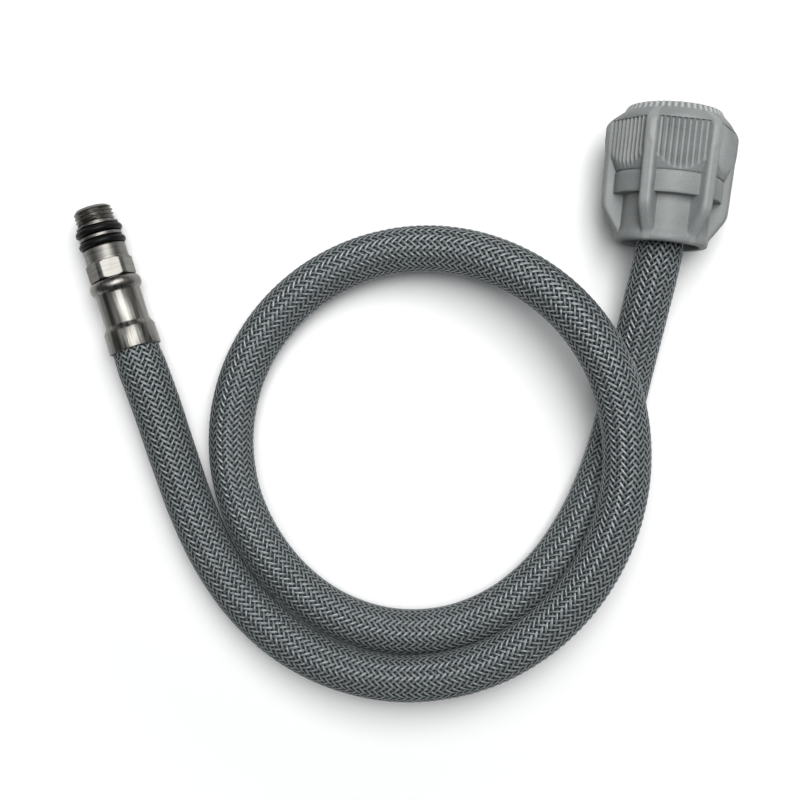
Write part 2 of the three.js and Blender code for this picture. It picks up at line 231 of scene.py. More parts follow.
def tube_points(line, s, radius, sides):
    """Rings round the line at the lengths s: points[ring, side]."""
    turn = np.arange(sides) * 2 * math.pi / sides
    centre, side, up = (line.look(t, s)[:, None] for t in (line.centre, line.side, line.up))
    ring = side * np.cos(turn)[None, :, None] + up * np.sin(turn)[None, :, None]
    return centre + ring * radius


def hose_radius(s):
    """Outer radius of the braid: full where it is pushed up, slim where it is stretched."""
    places = [0, 2, 5, 16, 34, 60, 125, 180, 225, 275, 320, 380, 400, 465, 500, 545, 566, 572]
    radii = [6.0, 6.1, 6.32, 6.3, 6.15, 5.92, 5.9, 6.0, 6.08, 5.95]
    radii += [5.8, 5.8, 5.9, 5.9, 5.78, 5.98, 6.05, 6.0]
    return np.interp(s - HOSE_REACH, places, radii)


def strand_points(line, hand, numbers):
    """Flat arched bundles of one hand: each passes over two crossing bundles and under two."""
    s = np.arange(0, line.length, STRAND_STEP)
    start = 2 * np.array(numbers)[:, None]
    crossings = hand * 2 * STRANDS * s / LEAD
    lift = hand * np.cos(math.pi / 2 * (start + crossings[None] - 0.5))
    angle = hand * 2 * math.pi * s[None] / LEAD + math.pi * start / STRANDS
    centre, side, up, along = (
        line.look(t, s)[None] for t in (line.centre, line.side, line.up, line.tangent)
    )
    normal = side * np.cos(angle)[..., None] + up * np.sin(angle)[..., None]
    round_way = up * np.cos(angle)[..., None] - side * np.sin(angle)[..., None]
    radius = hose_radius(s)[None] - WEAVE_HEIGHT
    lean = np.arctan2(2 * math.pi * radius, LEAD) * hand
    across = round_way * np.cos(lean)[..., None] - along * np.sin(lean)[..., None]
    place = STRAND_PLACES
    out = radius[..., None] + WEAVE_HEIGHT * lift[..., None] - STRAND_ARCH * place**2
    points = (
        centre[..., None, :]
        + normal[..., None, :] * out[..., None]
        + across[..., None, :] * (STRAND_WIDTH / 2 * place)[:, None]
    )
    # The yarn's look reads the place across a bundle, and how many bundles it has crossed
    uv = np.empty(points.shape[:-1] + (2,))
    uv[..., 0] = place
    uv[..., 1] = (start + crossings[None] + 1 - hand)[..., None]
    if hand < 0:
        points, uv = points[..., ::-1, :], uv[..., ::-1, :]
    return points, uv


def hose(materials):
    line = Line(hose_points())
    rings = np.linspace(0, line.length, CORE_RINGS)
    core_points = tube_points(line, rings, CORE_RADIUS, CORE_SIDES)
    # The core is near black: painted shade that shows in the gaps between the bundles
    core = piece(
        "hose_core",
        grid_mesh("hose_core", core_points, wrap_columns=True),
        "hose",
        materials["under"],
        replaces=("hose_braid",),
    )
    for hand, word in ((1, "right"), (-1, "left")):
        for part in range(WEAVE_PARTS):
            numbers = range(part, STRANDS, WEAVE_PARTS)
            points, uv = strand_points(line, hand, numbers)
            name = f"hose_weave_{word}_{part + 1}"
            mesh = grid_mesh(name, points, uv=uv)
            piece(name, mesh, "hose", materials["braid"])


def placed(point, turn, tip=0.0):
    """The place of a fitting's mesh, whose own +Y goes along axis_of(turn, tip)."""
    turned_by = Matrix.Rotation(turn, 4, "Z") @ Matrix.Rotation(tip, 4, "X")
    return Matrix.Translation(Vector(np.array(point) * MM)) @ turned_by


def inlet_place():
    return placed(np.array(ROUTE[0]) / MM - ORIGIN, INLET_TURN)


def nut_place(along=0.0):
    rim = NUT_RIM - ORIGIN
    return placed(rim + axis_of(NUT_TURN, NUT_TIP) * along, NUT_TURN, NUT_TIP)


# Turned pieces: rows of [radius, height] swept round +Y
ARC_STEPS, ARC_SHARE = 3, 0.4
LEAST_BEND, LEAST_REACH = math.radians(25), 0.02
SHARP_METAL, SHARP_PLASTIC = math.radians(38), math.radians(40)
SLEEVE_SIDES, STEM_SIDES, OTHER_SIDES = 160, 180, 120


def eased(profile, ease):
    """A closed profile with each sharp corner rounded by a short arc."""
    profile = [np.array(p, float) for p in profile]
    found = []
    corners = zip(profile[-1:] + profile[:-1], profile, profile[1:] + profile[:1])
    for before, corner, after in corners:
        a, b = before - corner, after - corner
        la, lb = np.linalg.norm(a), np.linalg.norm(b)
        bend = math.acos(np.clip(-(a @ b) / (la * lb), -1, 1))
        reach = min(ease, ARC_SHARE * la, ARC_SHARE * lb)
        if bend < LEAST_BEND or reach < LEAST_REACH:
            found.append(corner)
            continue
        start, end = corner + a / la * reach, corner + b / lb * reach
        for t in np.linspace(0, 1, ARC_STEPS + 1):
            found.append((1 - t) ** 2 * start + 2 * t * (1 - t) * corner + t * t * end)
    return np.array(found)


def turned(name, profile, sides, shape=None):
    """A revolved mesh; shape(turn, radius, height) may change the radius at each point."""
    profile = np.asarray(profile, float)
    turns = np.repeat(np.arange(sides)[None] * 2 * math.pi / sides, len(profile), 0)
    radius = np.repeat(profile[:, :1], sides, 1)
    height = np.repeat(profile[:, 1:], sides, 1)
    if shape is not None:
        radius = shape(turns, radius, height)
    points = np.stack([radius * np.sin(turns), height, radius * np.cos(turns)], -1)
    mesh = grid_mesh(name, points[:, ::-1], wrap_columns=True, wrap_rows=True)
    mesh.set_sharp_from_angle(angle=SHARP_METAL)
    return mesh


# Crimped sleeves, with heights from the sleeve's mouth
SLEEVE_BAND, SLEEVE_BAND_LENGTH = 6.7, 5.1
SLEEVE_WAIST, SLEEVE_WAIST_START = 5.75, 6.9
SLEEVE_BEAD, SLEEVE_BEAD_START = 6.65, 15.0
SLEEVE_LENGTH, SLEEVE_WALL, SLEEVE_END_HOLE = 18.5, 0.5, 5.0
BEAD_RISE, BEAD_HALF_LENGTH = 1.15, 1.62
BEAD_ARC = np.radians(np.linspace(-62, 78, 17))


def sleeve_profile():
    """A wide mouth, a squeezed waist, a rolled bead and an end turned in to the tail."""
    middle = (SLEEVE_BEAD_START + SLEEVE_LENGTH) / 2 + 0.1
    inside = SLEEVE_BAND - SLEEVE_WALL
    waist_inside = SLEEVE_WAIST - SLEEVE_WALL
    bead = [
        [SLEEVE_BEAD - BEAD_RISE * (1 - math.cos(a)), middle + BEAD_HALF_LENGTH * math.sin(a)]
        for a in BEAD_ARC
    ]
    return eased(
        [
            [inside, 0],
            [SLEEVE_BAND, 0],
            [SLEEVE_BAND - 0.1, SLEEVE_BAND_LENGTH],
            [SLEEVE_BAND - 0.35, SLEEVE_BAND_LENGTH + 0.6],
            [SLEEVE_WAIST + 0.12, SLEEVE_WAIST_START - 0.4],
            [SLEEVE_WAIST, SLEEVE_WAIST_START],
            [SLEEVE_WAIST, SLEEVE_BEAD_START - 0.2],
            [SLEEVE_WAIST + 0.12, SLEEVE_BEAD_START + 0.2],
            *bead,
            [SLEEVE_END_HOLE + 0.1, SLEEVE_LENGTH],
            [SLEEVE_END_HOLE, SLEEVE_LENGTH - 0.1],
            [SLEEVE_END_HOLE, SLEEVE_LENGTH - SLEEVE_WALL],
            [SLEEVE_BEAD - 1.4, middle + 1],
            [SLEEVE_BEAD - SLEEVE_WALL, middle],
            [waist_inside, SLEEVE_BEAD_START + 0.3],
            [waist_inside, SLEEVE_WAIST_START - 0.2],
            [inside - 0.2, SLEEVE_BAND_LENGTH],
        ],
        0.3,
    )


# Barbed tail of both fittings, with heights from the sleeve's mouth
BORE = 2.8
TAIL_START, TAIL_RADIUS, NECK = 2.1, 3.24, 4.7
BARBS, BARBED_LENGTH, BARB_RADIUS = 3, 12.8, 3.59
KEEPER_START, KEEPER, KEEPER_LENGTH = 16.1, 5.73, 1.2

# Inlet stem, with heights from the sleeve's mouth
FLATS_START, COLLAR_START, GROOVE_START = 18.8, 23.4, 27.1
GROOVE, LAND, GUARD, RELIEF = 2.4, 0.8, 0.5, 0.5
BAR, BAR_CHAMFER, FLATS_STEP = 6.0, 0.3, 0.45
ACROSS_FLATS, FLATS_TWIST = 11.0, math.radians(14)
COLLAR, GUARD_RADIUS, GROOVE_FLOOR, RELIEF_FLOOR = 5.5, 5.4, 3.9, 4.35
THREAD_RADIUS, THREAD_PITCH, THREAD_DEPTH, THREAD_LENGTH = 4.95, 1.0, 0.6, 4.0
THREAD_ROWS, TIP_RADIUS, TIP_CHAMFER = 57, 3.95, 0.35
SEAL_SECTION, SEAL_ROWS, SEAL_LIFT = 0.95, 28, 0.25


def tail_profile():
    """Barbs inside the hose, the ring that the sleeve's end holds, and the neck after it."""
    pitch = BARBED_LENGTH / BARBS
    barbs = []
    for i in range(BARBS):
        barbs += [[TAIL_RADIUS, TAIL_START + i * pitch]]
        barbs += [[BARB_RADIUS, TAIL_START + (i + 0.75) * pitch]]
        barbs += [[TAIL_RADIUS, TAIL_START + (i + 0.76) * pitch]]
    return [
        [BORE, TAIL_START],
        *barbs,
        [TAIL_RADIUS, KEEPER_START],
        [KEEPER, KEEPER_START],
        [KEEPER, KEEPER_START + KEEPER_LENGTH],
        [NECK, KEEPER_START + KEEPER_LENGTH],
    ]


def stem_profile():
    """The stem's outline, and the heights where its thread starts and its tip ends."""
    second = GROOVE_START + GROOVE + LAND
    guard = second + GROOVE
    thread = guard + GUARD + RELIEF
    tip = thread + THREAD_LENGTH
    before = eased(
        [
            *tail_profile(),
            [NECK, FLATS_START],
            [BAR - BAR_CHAMFER, FLATS_START],
            [BAR, FLATS_START + BAR_CHAMFER],
            [BAR, COLLAR_START - BAR_CHAMFER],
            [BAR - BAR_CHAMFER, COLLAR_START],
            [COLLAR, COLLAR_START],
            [COLLAR, GROOVE_START],
            [GROOVE_FLOOR, GROOVE_START],
            [GROOVE_FLOOR, GROOVE_START + GROOVE],
            [COLLAR, GROOVE_START + GROOVE],
            [COLLAR, second],
            [GROOVE_FLOOR, second],
            [GROOVE_FLOOR, guard],
            [GUARD_RADIUS, guard],
            [GUARD_RADIUS, guard + GUARD],
            [RELIEF_FLOOR, guard + GUARD],
            [RELIEF_FLOOR, thread],
            [RELIEF_FLOOR, thread + 1],
            [BORE, thread + 1],
        ],
        0.12,
    )
    # The last corner only closes the outline for the easing
    before = before[: -(ARC_STEPS + 1)]
    heights = np.linspace(thread + 0.05, tip - 0.05, THREAD_ROWS)
    cut = np.stack([np.full(THREAD_ROWS, THREAD_RADIUS), heights], 1)
    after = [[TIP_RADIUS, tip], [BORE + TIP_CHAMFER, tip], [BORE, tip - TIP_CHAMFER]]
    # Rows along the bar, for the ends of its flats
    heights = np.arange(FLATS_START + 0.5, COLLAR_START - 0.4, FLATS_STEP)
    flats = np.stack([np.full(len(heights), BAR), heights], 1)
    at = int(np.argmax(before[:, 1] > FLATS_START + FLATS_STEP))
    return np.concatenate([before[:at], flats, before[at:], cut, after]), thread, tip


def stem_shape(thread, tip):
    """Spanner flats, and a right-handed thread that runs out at both ends."""

    def shape(turn, radius, height):
        near = (turn - FLATS_TWIST + math.pi / 6) % (math.pi / 3) - math.pi / 6
        flat = ACROSS_FLATS / 2 / np.cos(near)
        on_flats = (height > FLATS_START + 0.02) & (height < COLLAR_START - 0.02)
        radius = np.where(on_flats, np.minimum(radius, flat), radius)
        cycle = (height / THREAD_PITCH - turn / (2 * math.pi)) % 1
        valley = np.clip(1.25 * (1 - np.abs(2 * cycle - 1)) - 0.12, 0, 1)
        fade = np.clip((height - thread) / 0.35, 0, 1)
        on_thread = (height > thread + 0.01) & (height < tip - 0.01) & (radius > 4.8)
        cone = THREAD_RADIUS - np.clip(height - (tip - 0.75), 0, 1) * 1.1
        threaded = np.minimum(THREAD_RADIUS - THREAD_DEPTH * valley * fade, cone)
        start = np.clip((height - thread) / 0.3, 0, 1)
        lead_in = RELIEF_FLOOR + (THREAD_RADIUS - RELIEF_FLOOR) * start
        return np.where(on_thread, np.minimum(threaded, lead_in), radius)

    return shape


def inlet(materials):
    place = inlet_place()
    sleeve = turned("sleeve_in", sleeve_profile(), SLEEVE_SIDES)
    replaced = ["inlet_crimp_sleeve"]
    piece("inlet_sleeve", sleeve, "hose", materials["sleeve"], place, replaced)
    profile, thread, tip = stem_profile()
    stem = turned("stem", profile, STEM_SIDES, stem_shape(thread, tip))
    piece("inlet_tail", stem, "hose", materials["metal"], place, ["inlet_stem"])
    for name, node, along in (
        ("seal_ring_inner", "inner_seal_ring", GROOVE_START + GROOVE / 2),
        ("seal_ring_outer", "outer_seal_ring", GROOVE_START + 1.5 * GROOVE + LAND),
    ):
        ring = turned(name, seal_profile(along), OTHER_SIDES)
        piece(name, ring, "hose", materials["rubber"], place, [node])


def seal_profile(along):
    """A round section that stands a little off the groove's floor."""
    angle = np.arange(SEAL_ROWS) * 2 * math.pi / SEAL_ROWS
    middle = np.array([GROOVE_FLOOR + SEAL_LIFT + SEAL_SECTION, along])
    return middle + SEAL_SECTION * np.stack([np.cos(angle), np.sin(angle)], 1)


# Flange of the outlet tail, and the washer on it, with heights from the sleeve's mouth
FLANGE_START, FLANGE_THICKNESS, FLANGE_RADIUS = 18.8, 1.5, 9.0
WASHER_START, WASHER_THICKNESS, WASHER_HOLE = 20.6, 2, 5.5


def outlet(materials):
    place = nut_place(OUTLET_SLEEVE_START)
    sleeve = turned("sleeve_out", sleeve_profile(), OTHER_SIDES)
    replaced = ["outlet_crimp_sleeve"]
    piece("outlet_sleeve", sleeve, "hose", materials["sleeve"], place, replaced)
    profile = eased(
        [
            *tail_profile(),
            [NECK, FLANGE_START],
            [FLANGE_RADIUS, FLANGE_START],
            [FLANGE_RADIUS, FLANGE_START + FLANGE_THICKNESS],
            [BORE, FLANGE_START + FLANGE_THICKNESS],
        ],
        0.15,
    )
    piece(
        "outlet_flanged_tail",
        turned("tail_out", profile, OTHER_SIDES),
        "hose",
        materials["metal"],
        place,
        ["outlet_tail"],
    )
    washer_end = WASHER_START + WASHER_THICKNESS
    washer = eased(
        [
            [WASHER_HOLE, WASHER_START],
            [FLANGE_RADIUS, WASHER_START],
            [FLANGE_RADIUS, washer_end],
            [WASHER_HOLE, washer_end],
        ],
        0.25,
    )
    piece(
        "flat_washer",
        turned("washer", washer, OTHER_SIDES),
        "hose",
        materials["rubber"],
        place,
        ["sealing_washer"],
    )


# Union nut, with heights from the rim that the hose enters
NUT_LENGTH = 33.8
SKIRT, RIM, BAND = 11.0, 11.5, 13.6
BAND_START, BAND_END = 11.5, 16.7
CONE_SLOPE = 0.42
PANEL, PANEL_START = 14.35, BAND_END + 0.3
WINGS = 6
SECTOR = math.pi / WINGS
WING_TIP, WING_BEND_RADIUS = 16.45, 15.8
WING_START, WING_BEND, WING_CLIMB = 1.8, 8.1, 19.8
WING_HALF, WING_EDGE = 1.6, 1.1
SHOULDER_START, SHOULDER_END = 29.4, 32.2
CROWN, CROWN_TOP = 12.5, 11.7
CROWN_RIBS, CROWN_RIB_DEPTH = 48, 0.5
FLUTES, FLUTE_PITCH, FLUTE_DEPTH = 9, 1.46, 0.7
CHAMFER_FROM, CHAMFER_ROUND = 24, 1.7
SKIRT_BORE, LAND_START, LAND_END, LAND_HOLE = 9.2, 19.0, 22.0, 7.4
SOCKET, SOCKET_THREAD, SOCKET_PITCH, SOCKET_MOUTH = 9.3, 1.05, 1.814, 10.6

# How finely the nut is cut: columns to a flute, and degrees from a wing's middle
FLUTE_COLUMNS, CLOSEST_COLUMNS = 8, 0.0035
WING_COLUMNS = [1, 1.8, 2.5, 3.1, 3.7, 4.2, 4.7, 5.2, 5.7, 6.3, 6.9, 7.5, 8.1, 8.8]

# A row with this radius gets its form from the panels, the wings and the crown alone
UNBOUNDED = 30


def soft_min(a, b, reach):
    """The lesser of two, blended where they are closer than reach."""
    share = np.clip(reach - np.abs(a - b), 0, None) / reach
    return np.minimum(a, b) - share * share * reach / 4


def soft_max(a, b, reach):
    """The greater of two, blended where they are closer than reach."""
    return -soft_min(-a, -b, reach)


def nut_columns():
    """Turns round the nut, eight to each flute and close together on the wings."""
    reach = FLUTES * FLUTE_COLUMNS // 2
    across = np.arange(-reach, reach + 1) * FLUTE_PITCH / FLUTE_COLUMNS
    wing = np.radians(WING_COLUMNS)
    turns = [np.arctan(across / PANEL), SECTOR - wing, wing - SECTOR, [-SECTOR]]
    turns = np.sort(np.concatenate(turns))
    turns = turns[np.concatenate([[True], np.diff(turns) > CLOSEST_COLUMNS])]
    return np.concatenate([turns + 2 * SECTOR * k for k in range(WINGS)])


def nut_rows():
    """Rows of [height, radius of the form between the wings] up the outside."""
    cone_start = BAND_END + 0.35
    cone_end = cone_start + (WING_TIP - BAND) / CONE_SLOPE
    rows = [[0, 9.95], [0, 10.6], [0.06, 10.9], [0.25, 11.25], [0.55, 11.45], [1, RIM]]
    rows += [[1.7, RIM - 0.02], [2.2, 11.3], [2.7, 11.12], [3.3, 11.02], [4, SKIRT]]
    rows += [[y, SKIRT] for y in np.arange(4.6, BAND_START - 0.3, 0.6)]
    rows += [[BAND_START - 0.35, SKIRT + 0.02], [BAND_START - 0.08, SKIRT + 0.12]]
    rows += [[BAND_START, SKIRT + 0.4], [BAND_START, BAND - 0.3]]
    rows += [[BAND_START + 0.08, BAND - 0.1], [BAND_START + 0.28, BAND]]
    rows += [[y, BAND] for y in np.arange(BAND_START + 0.8, BAND_END - 0.4, 0.7)]
    rows += [[BAND_END - 0.15, BAND], [BAND_END - 0.02, BAND - 0.08]]
    rows += [[BAND_END + 0.05, BAND - 0.32], [BAND_END + 0.25, BAND - 0.32]]
    rows += [[cone_start - 0.03, BAND - 0.1]]
    heights = np.concatenate(
        [
            np.arange(cone_start + 0.12, cone_end + 0.3, 0.28),
            np.arange(cone_end + 0.6, SHOULDER_START - 1.6, 0.75),
            np.arange(SHOULDER_START - 1.5, SHOULDER_START - 0.15, 0.25),
            [SHOULDER_START - 0.05, SHOULDER_START + 0.06],
            np.arange(SHOULDER_START + 0.3, SHOULDER_END, 0.22),
        ]
    )
    rows += [[y, min(BAND + (y - cone_start) * CONE_SLOPE, WING_TIP + 1)] for y in heights]
    crown = [SHOULDER_END, SHOULDER_END + 0.05, SHOULDER_END + 0.5]
    crown += [NUT_LENGTH - 0.5, NUT_LENGTH - 0.18, NUT_LENGTH - 0.03, NUT_LENGTH]
    rows += [[y, UNBOUNDED] for y in crown]
    return np.array(rows)


def plate_radius(tip, turn):
    """Radius of a plate in the plane of the axis, with rounded edges, at a turn from its middle."""
    turn = np.maximum(turn, 1e-4)
    along, off = tip - WING_EDGE, WING_HALF - WING_EDGE
    middle = along * np.cos(turn) + off * np.sin(turn)
    rounded = middle + np.sqrt(np.clip(middle**2 - along**2 - off**2 + WING_EDGE**2, 0, None))
    flat = tip / np.cos(turn)
    side = WING_HALF / np.sin(turn)
    on_side = side * np.cos(turn) < along
    return np.where(tip * np.tan(turn) < off, flat, np.where(on_side, side, rounded))


def nut_outside(turns, rows):
    """Radius of the nut's outside at each row and turn, and how much painted highlight it gets
    there.
    """
    height = rows[:, 0][:, None]
    base = rows[:, 1][:, None]
    turn = (turns[None] + SECTOR) % (2 * SECTOR) - SECTOR
    wing_turn = SECTOR - np.abs(turn)
    panels = np.where(height > PANEL_START, soft_min(base, PANEL / np.cos(turn), 0.25), base)

    # Wings: steep from the rim to their bend, then nearly level to their tips
    rise = (WING_BEND_RADIUS - RIM) / (WING_BEND - WING_START)
    low = RIM + (height - WING_START) * rise
    high = WING_BEND_RADIUS + (height - WING_BEND) * (WING_TIP - WING_BEND_RADIUS) / WING_CLIMB
    tip = soft_min(low, np.minimum(high, WING_TIP), 0.9)
    wing = plate_radius(tip, wing_turn)
    radius = np.where(height > WING_START - 0.3, soft_max(panels, wing, 0.7), panels)
    edge = WING_TIP - 0.4
    slope = (edge - CROWN) / (SHOULDER_END - SHOULDER_START)
    chamfer = edge - (height - SHOULDER_START) * slope
    radius = np.where(height > CHAMFER_FROM, soft_min(radius, chamfer, CHAMFER_ROUND), radius)

    # Flutes, cut into the panels
    across = PANEL * np.tan(turn)
    groove = 0.5 + 0.5 * np.cos(2 * math.pi * across / FLUTE_PITCH)
    cut = np.where(np.abs(across) < FLUTES * FLUTE_PITCH / 2, np.clip(1.5 * groove, 0, 1), 0)
    floor = (PANEL - FLUTE_DEPTH) / np.cos(turn)
    deep = np.clip(radius - floor, 0, None) * cut
    in_flutes = (height > PANEL_START) & (height < SHOULDER_START)
    radius = np.where(in_flutes, radius - deep, radius)

    # Ribbed crown
    lean = CROWN - (height - SHOULDER_END) * (CROWN - CROWN_TOP) / (NUT_LENGTH - SHOULDER_END)
    rib = np.abs(np.sin(CROWN_RIBS / 2 * turns))[None]
    top = np.clip((height - (NUT_LENGTH - 0.2)) / 0.2, 0, 1) ** 2
    crown = lean - CROWN_RIB_DEPTH * (1 - rib) ** 0.8 - 0.2 * top
    on_crown = height > SHOULDER_END + 0.01
    # Painted highlight: paler on the crown's rib tips and along each wing's ridge
    rib_highlight = np.clip(2.5 * rib - 1.3, 0, 1)
    wing_highlight = np.clip(1.4 - wing_turn / 0.06, 0, 0.3)
    return np.where(on_crown, crown, radius), np.where(on_crown, rib_highlight, wing_highlight)


def nut_inside(turns):
    """Heights and radii of the inside, from the mouth back to the rim."""
    socket_end = NUT_LENGTH - (SOCKET_MOUTH - SOCKET)
    rows = [[NUT_LENGTH, SOCKET_MOUTH + 0.15], [NUT_LENGTH - 0.12, SOCKET_MOUTH - 0.05]]
    # A radius of 0 stands for the thread's
    rows += [[y, 0] for y in np.arange(socket_end + 0.6, LAND_END + 1.6, -SOCKET_PITCH / 9)]
    rows += [[LAND_END + 1.4, SOCKET], [LAND_END + 0.1, SOCKET], [LAND_END, SOCKET - 0.1]]
    rows += [[LAND_END, LAND_HOLE + 0.2], [LAND_END - 0.2, LAND_HOLE]]
    rows += [[LAND_START + 0.1, LAND_HOLE], [LAND_START, LAND_HOLE + 0.1], [LAND_START, 8.1]]
    rows += [[18, SKIRT_BORE], [10, SKIRT_BORE]]
    rows += [[2.5, SKIRT_BORE], [0.9, SKIRT_BORE + 0.05]]
    rows += [[0.35, SKIRT_BORE + 0.25], [0.08, SKIRT_BORE + 0.5]]
    rows = np.array(rows)
    height = rows[:, 0][:, None] + 0 * turns[None]
    radius = rows[:, 1][:, None] + 0 * turns[None]
    cycle = (height / SOCKET_PITCH - turns[None] / (2 * math.pi)) % 1
    groove = np.clip(1.3 * (1 - np.abs(2 * cycle - 1)) - 0.15, 0, 1) * SOCKET_THREAD
    fade = np.clip((height - LAND_END - 1.4) / 0.8, 0, 1)
    mouth = SOCKET + np.clip(height - socket_end, 0, None)
    threaded = np.maximum(SOCKET + groove * fade, mouth)
    return height, np.where(radius == 0, threaded, radius)


def nut(materials):
    turns = nut_columns()
    rows = nut_rows()
    height_in, radius_in = nut_inside(turns)
    radius_out, wear = nut_outside(turns, rows)
    radius = np.concatenate([radius_out, radius_in])
    # The painted highlight reaches the material in a UV layer; the inside gets none
    wear = np.concatenate([wear, 0 * radius_in])
    uv = np.stack([wear, wear], -1)[:, ::-1]
    height = np.concatenate([rows[:, :1] + 0 * turns[None], height_in])
    points = np.stack([radius * np.sin(turns), height, radius * np.cos(turns)], -1)
    mesh = grid_mesh("nut", points[:, ::-1], wrap_columns=True, wrap_rows=True, uv=uv, layer="wear")
    mesh.set_sharp_from_angle(angle=SHARP_PLASTIC)
    look, place = materials["plastic"], nut_place()
    piece("winged_nut", mesh, "coupling", look, place, ["union_nut"])


# Materials: the darkest and the lightest colour of each
# The yarn's darkest colour is painted shade at the bundles' edges, crease and dips
YARN_AND_SHADE = (0.004, 0.006, 0.008), (0.44, 0.482, 0.49)
# The liner under the braid, near black as painted shade in the gaps
GAP_SHADE = (0.006, 0.008, 0.01), (0.02, 0.023, 0.027)
NICKEL = (0.11, 0.107, 0.098), (0.275, 0.268, 0.248)
RUBBER = (0.003, 0.003, 0.0035), (0.008, 0.008, 0.0085)
LINER = (0.035, 0.035, 0.037), (0.07, 0.07, 0.072)
# The plastic's palest end is reached only through the painted highlight
PLASTIC_AND_HIGHLIGHT = (0.165, 0.177, 0.175), (0.52, 0.537, 0.53)


class Look:
    """A principled material with a few short calls for its texture nodes."""

    def __init__(self, name, color, roughness, metallic=0.0, specular=0.5):
        self.material = bpy.data.materials.new(name)
        self.material.use_nodes = True
        self.nodes = self.material.node_tree.nodes
        self.links = self.material.node_tree.links
        self.shader = self.nodes["Principled BSDF"]
        self.shader.inputs["Base Color"].default_value = (*color, 1)
        self.shader.inputs["Roughness"].default_value = roughness
        self.shader.inputs["Metallic"].default_value = metallic
        self.shader.inputs["Specular IOR Level"].default_value = specular

    def add(self, kind, **values):
        node = self.nodes.new(kind)
        for key, value in values.items():
            if hasattr(node, key):
                setattr(node, key, value)
            else:
                node.inputs[key].default_value = value
        return node

    def join(self, out, into):
        self.links.new(out, into)

    def place(self, scale):
        """Places on the piece, in metres times the scale along each of its own axes."""
        found = self.add("ShaderNodeTexCoord").outputs["Object"]
        node = self.add("ShaderNodeMapping")
        node.inputs["Scale"].default_value = scale
        self.join(found, node.inputs["Vector"])
        return node.outputs["Vector"]

    def noise(self, vector, scale, detail=4.0, rough=0.55):
        node = self.add("ShaderNodeTexNoise", Scale=scale, Detail=detail, Roughness=rough)
        self.join(vector, node.inputs["Vector"])
        return node.outputs["Fac"]

    def remap(self, value, *ends):
        """The value from its first range to its second, held at the ends."""
        node = self.add("ShaderNodeMapRange")
        for key, number in zip(("From Min", "From Max", "To Min", "To Max"), ends):
            node.inputs[key].default_value = number
        self.join(value, node.inputs["Value"])
        return node.outputs["Result"]

    def math(self, operation, a, b=0):
        node = self.add("ShaderNodeMath", operation=operation)
        for number, value in enumerate((a, b)):
            if isinstance(value, (int, float)):
                node.inputs[number].default_value = value
            else:
                self.join(value, node.inputs[number])
        return node.outputs["Value"]

    def blend(self, first, share, second):
        """The first value by its share, and the second by the rest."""
        first = self.math("MULTIPLY", first, share)
        return self.math("ADD", first, self.math("MULTIPLY", second, 1 - share))

    def colour(self, factor, low, high):
        node = self.add("ShaderNodeMix", data_type="RGBA")
        node.inputs["A"].default_value = (*low, 1)
        node.inputs["B"].default_value = (*high, 1)
        self.join(factor, node.inputs["Factor"])
        self.join(node.outputs["Result"], self.shader.inputs["Base Color"])

    def rough(self, factor, low, high):
        self.join(self.remap(factor, 0.3, 0.7, low, high), self.shader.inputs["Roughness"])

    def bump(self, height, distance, strength):
        """Relief in the shading, its distance in millimetres."""
        node = self.add("ShaderNodeBump", Strength=strength, Distance=distance * MM)
        self.join(height, node.inputs["Height"])
        self.join(node.outputs["Normal"], self.shader.inputs["Normal"])


def braid_look():
    """Yarn: pale where a bundle lies on top, with painted shade at its edges and where it dips
    under.
    """
    look = Look("braid_yarn", (0.3, 0.32, 0.33), 0.4, metallic=0.5, specular=0.5)
    along = look.add("ShaderNodeUVMap", uv_map="along")
    split = look.add("ShaderNodeSeparateXYZ")
    look.join(along.outputs["UV"], split.inputs["Vector"])
    across, crossed = split.outputs["X"], split.outputs["Y"]

    # Fibres run along the bundle
    place = look.add("ShaderNodeCombineXYZ")
    look.join(look.math("MULTIPLY", across, 3.2), place.inputs["X"])
    look.join(look.math("MULTIPLY", crossed, 0.8), place.inputs["Y"])
    fibres = look.noise(place.outputs["Vector"], 1.0, 3.0, 0.6)
    mixed = look.blend(fibres, 0.7, look.noise(look.place((900, 900, 900)), 1.0, 2.0))

    # Crests: two ridges across, painted shade at the edges, and the rise and fall over the
    # crossings
    wave = look.math("ABSOLUTE", look.math("SINE", look.math("MULTIPLY", across, math.pi)))
    edge = look.remap(look.math("ABSOLUTE", across), 0.4, 0.85, 1, 0.02)
    # Painted shade in the crease between the two ridges and at the bundle's edges
    crest_and_shade = look.math("MULTIPLY", look.remap(wave, 0, 0.7, 0.55, 1), edge)
    # Painted shade where a bundle dips under the crossing bundles
    phase = look.math("MULTIPLY", look.math("SUBTRACT", crossed, 0.5), math.pi / 2)
    lift = look.remap(look.math("COSINE", phase), -0.55, 0.5, 0.4, 1)
    crest_and_shade = look.math("MULTIPLY", crest_and_shade, lift)

    # The fibres' tone, times the painted shade of the crests
    tone_and_shade = look.math("MULTIPLY", look.remap(mixed, 0.33, 0.67, 0.3, 1.25), crest_and_shade)
    look.colour(tone_and_shade, *YARN_AND_SHADE)
    look.join(look.remap(crest_and_shade, 0.1, 0.9, 0.65, 0.37), look.shader.inputs["Roughness"])
    look.bump(look.math("ADD", crest_and_shade, look.math("MULTIPLY", fibres, 0.6)), 0.14, 0.9)
    return look.material


def gap_shade_look():
    """The liner's surface under the bundles, made near black as painted shade for the gaps between
    them.
    """
    look = Look("under_braid_shade", (0.012, 0.014, 0.017), 0.8)
    grain = look.noise(look.place((1000, 1000, 1000)), 2.0)
    look.colour(grain, *GAP_SHADE)
    return look.material


